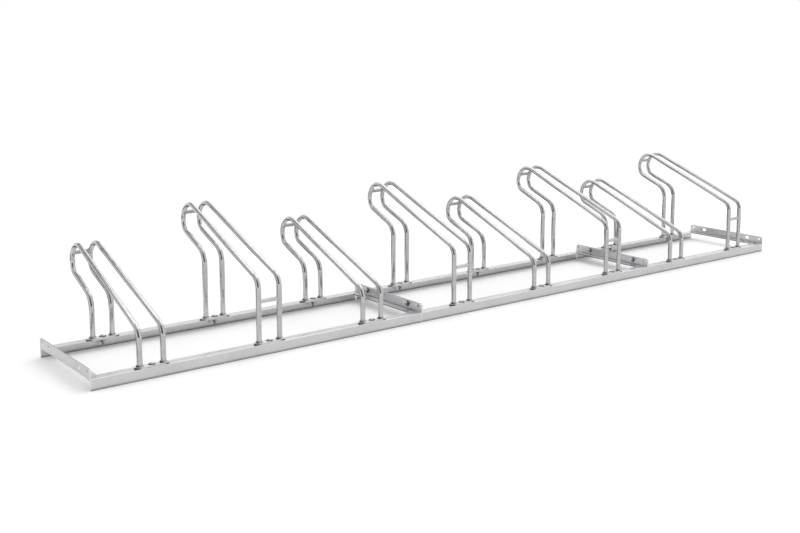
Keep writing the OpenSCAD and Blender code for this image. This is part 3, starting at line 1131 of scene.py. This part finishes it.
def plate_bolts():
    bolts, nuts = bmesh.new(), bmesh.new()
    rng = random.Random(BOLT_SEED)
    for p in PLACES:
        for y in (FRONT_LEG_Y, REAR_LEG_Y):
            carriage_bolt(bolts, Matrix.Translation((place_x(p), y, PLATE_TOP)))
            turned = Matrix.Rotation(math.radians(rng.uniform(-RAIL_NUT_TURN, RAIL_NUT_TURN)), 4, "Z")
            place = Matrix.Translation((place_x(p), y, 0)) @ turned
            hexagon(nuts, place, FLANGE_BOTTOM - NUT_H, FLANGE_BOTTOM, bored=True, chamfered_low=True)
    finish_fasteners("carriage_bolts", bolts, bolt_painted_shade, weighted=False)
    finish_fasteners("rail_nuts", nuts, nut_painted_shade)


def joining_bolt(bm, place):
    collar(bm, place, COLLAR_BORE_R)
    hexagon(bm, place, HEXAGON_SEAT, JOIN_HEAD_H, bored=False)
    thread(bm, place, -JOIN_LENGTH, LAP)


def joining_nut(bm, place):
    collar(bm, place, BORE_R)
    hexagon(bm, place, HEXAGON_SEAT, JOIN_NUT_H, bored=True)


def joint_bolts():
    """Bolt heads on the right of each joint and nuts on its left, in the joining slots."""
    bolts, nuts = bmesh.new(), bmesh.new()
    rng = random.Random(JOINT_SEED)
    for x in JOINTS:
        for y in (SLOT_INSET, FRAME_DEPTH - SLOT_INSET):
            for side, bm, make in ((1, bolts, joining_bolt), (-1, nuts, joining_nut)):
                seat = Matrix.Translation((x + side * WALL, y, END_TOP - SLOT_DROP))
                outward = Matrix.Rotation(side * math.pi / 2, 4, "Y")
                turned = Matrix.Rotation(math.radians(rng.uniform(-JOINT_TURN, JOINT_TURN)), 4, "Z")
                make(bm, seat @ outward @ turned)
    finish_fasteners("joining_bolts", bolts, joint_painted_light)
    finish_fasteners("joining_nuts", nuts, joint_painted_light)


plate_bolts()
joint_bolts()


# The floor, and the cards and softbox that only the metal reflects, in metres from the rack's middle

FLOOR_WHITE = 0.96
FLOOR_LIFT = 0.09
FLOOR_REACH = 30.0
CARD_LIFT = 0.002
BACK_CARD_Y = 1.2
SOFTBOX_HEIGHT = 4.0


def stage_plane(name, corners, material):
    mesh = bpy.data.meshes.new(name)
    mesh.from_pydata(corners, [], [range(len(corners))])
    mesh.materials.append(material)
    obj = bpy.data.objects.new(name, mesh)
    bpy.context.collection.objects.link(obj)
    return obj


def level_card(left, right, front, back, height=CARD_LIFT):
    return [(left, front, height), (right, front, height), (right, back, height), (left, back, height)]


def upright_card(middle, width, low, high):
    """Corners of a card that stands across the line from its middle to the rack."""
    middle = Vector((*middle, 0))
    across = middle.cross(Vector((0, 0, 1))).normalized() * width / 2
    return [
        middle - across + Vector((0, 0, low)), middle + across + Vector((0, 0, low)),
        middle + across + Vector((0, 0, high)), middle - across + Vector((0, 0, high))]


def matt(g, shade):
    return g.node("ShaderNodeBsdfDiffuse", {"Color": (shade, shade, shade, 1), "Roughness": 0.0})


def seen_directly(g):
    """1 for rays that carry the background: from the camera, and off or through a surface."""
    path = g.node("ShaderNodeLightPath").outputs
    return g.maths("MAXIMUM", path["Is Camera Ray"], path["Is Glossy Ray"], path["Is Transmission Ray"])


def floor():
    """White floor that takes shadows and shows a little whiter than it is lit."""
    g = Graph(bpy.data.materials.new("white_floor"))
    lift = g.maths("MULTIPLY", seen_directly(g), FLOOR_LIFT)
    glow = g.node("ShaderNodeEmission", {"Strength": lift})
    both = g.node("ShaderNodeAddShader", {0: matt(g, FLOOR_WHITE).outputs[0], 1: glow.outputs[0]})
    far = FLOOR_REACH
    stage_plane("floor", level_card(-far, far, -far, far, 0.0), g.show(both))


def reflected_only(card):
    """Keeps a card out of everything but the metal's reflections."""
    card.visible_camera = False
    card.visible_diffuse = False
    card.visible_shadow = False
    card.visible_transmission = False
    card.visible_volume_scatter = False


def flag(name, corners, shade):
    """Card of a grey shade, which shows in the metal as a streak darker than the floor or sky."""
    g = Graph(bpy.data.materials.new(name))
    reflected_only(stage_plane(name, corners, g.show(matt(g, shade))))


def softbox(name, corners, strength):
    g = Graph(bpy.data.materials.new(name))
    glow = g.node("ShaderNodeEmission", {"Strength": strength})
    reflected_only(stage_plane(name, corners, g.show(glow)))


def back_left_card():
    """Corners of a card behind the left end, whose upper edge climbs in steps to the right."""
    edge = (
        (-3.2, 0.95), (-0.75, 0.95), (-0.75, 2.9), (-1.25, 2.9), (-1.3, 2.5), (-1.8, 2.45), (-1.9, 2.1),
        (-3.2, 2.1))
    return [(x, BACK_CARD_Y, z) for x, z in edge]


floor()
flag("camera_side_flag", upright_card(middle=(-2.9, -3.7), width=5.5, low=0.38, high=6.0), shade=0.03)
flag("left_flag", upright_card(middle=(-3.6, 1.0), width=7.0, low=1.0, high=6.0), shade=0.55)
flag("back_left_flag", back_left_card(), shade=0.5)
flag("front_floor_flag", level_card(left=-2.6, right=2.6, front=-1.4, back=-0.36), shade=0.88)
flag("rear_floor_flag", level_card(left=-1.55, right=2.4, front=0.5, back=1.05), shade=0.03)
flag("left_floor_flag", level_card(left=-2.2, right=-1.75, front=-0.1, back=0.9), shade=0.3)
softbox(
    "key_softbox", level_card(left=-4.5, right=5.5, front=0.8, back=5.0, height=SOFTBOX_HEIGHT),
    strength=1.8)


# The lights, and the camera at the photograph's viewpoint

WORLD_STRENGTH = (0.86, 1.0)
KEY_STRENGTH = 0.75
KEY_SPREAD = 45.0
KEY_DIRECTION = Vector((-0.62, -0.14, -0.74))

# The camera's place in metres, its turns in radians, its lens and sensor in millimetres
CAMERA_PLACE = Vector((-2.38495, -2.7685, 0.9022))
CAMERA_YAW = 0.65635
CAMERA_PITCH = 0.1406
CAMERA_ROLL = 0.0017
CAMERA_LENS = 49.29
CAMERA_SENSOR = 36.0
CAMERA_SHIFT = -0.11
CAMERA_CLIP = (0.05, 200.0)


def light_world():
    """White surroundings, a little brighter to see than they light the scene."""
    world = bpy.data.worlds.new("studio")
    bpy.context.scene.world = world
    g = Graph(world, "ShaderNodeOutputWorld")
    strength = g.span(seen_directly(g), UNIT, WORLD_STRENGTH)
    g.show(g.node("ShaderNodeBackground", {"Color": (1, 1, 1, 1), "Strength": strength}))


def key_light():
    """Broad soft light from the right, a little to the rear."""
    data = bpy.data.lights.new("key", "SUN")
    data.angle = math.radians(KEY_SPREAD)
    data.energy = KEY_STRENGTH
    lamp = bpy.data.objects.new("key", data)
    lamp.rotation_mode = "QUATERNION"
    lamp.rotation_quaternion = KEY_DIRECTION.to_track_quat("-Z", "Y")
    bpy.context.collection.objects.link(lamp)


def camera_turn():
    """The camera's right, up and backward directions as columns."""
    ahead = Vector((
        math.sin(CAMERA_YAW) * math.cos(CAMERA_PITCH),
        math.cos(CAMERA_YAW) * math.cos(CAMERA_PITCH),
        -math.sin(CAMERA_PITCH)))
    level = Vector((math.cos(CAMERA_YAW), -math.sin(CAMERA_YAW), 0))
    above = level.cross(ahead)
    right = level * math.cos(CAMERA_ROLL) + above * math.sin(CAMERA_ROLL)
    up = above * math.cos(CAMERA_ROLL) - level * math.sin(CAMERA_ROLL)
    return Matrix((right, up, -ahead)).transposed().to_4x4()


def camera():
    data = bpy.data.cameras.new("camera")
    data.lens = CAMERA_LENS
    data.sensor_width = CAMERA_SENSOR
    data.shift_y = CAMERA_SHIFT
    data.clip_start, data.clip_end = CAMERA_CLIP
    obj = bpy.data.objects.new("camera", data)
    obj.matrix_world = Matrix.Translation(CAMERA_PLACE) @ camera_turn()
    bpy.context.collection.objects.link(obj)
    bpy.context.scene.camera = obj


light_world()
key_light()
camera()
bpy.context.scene.view_settings.view_transform = "Standard"
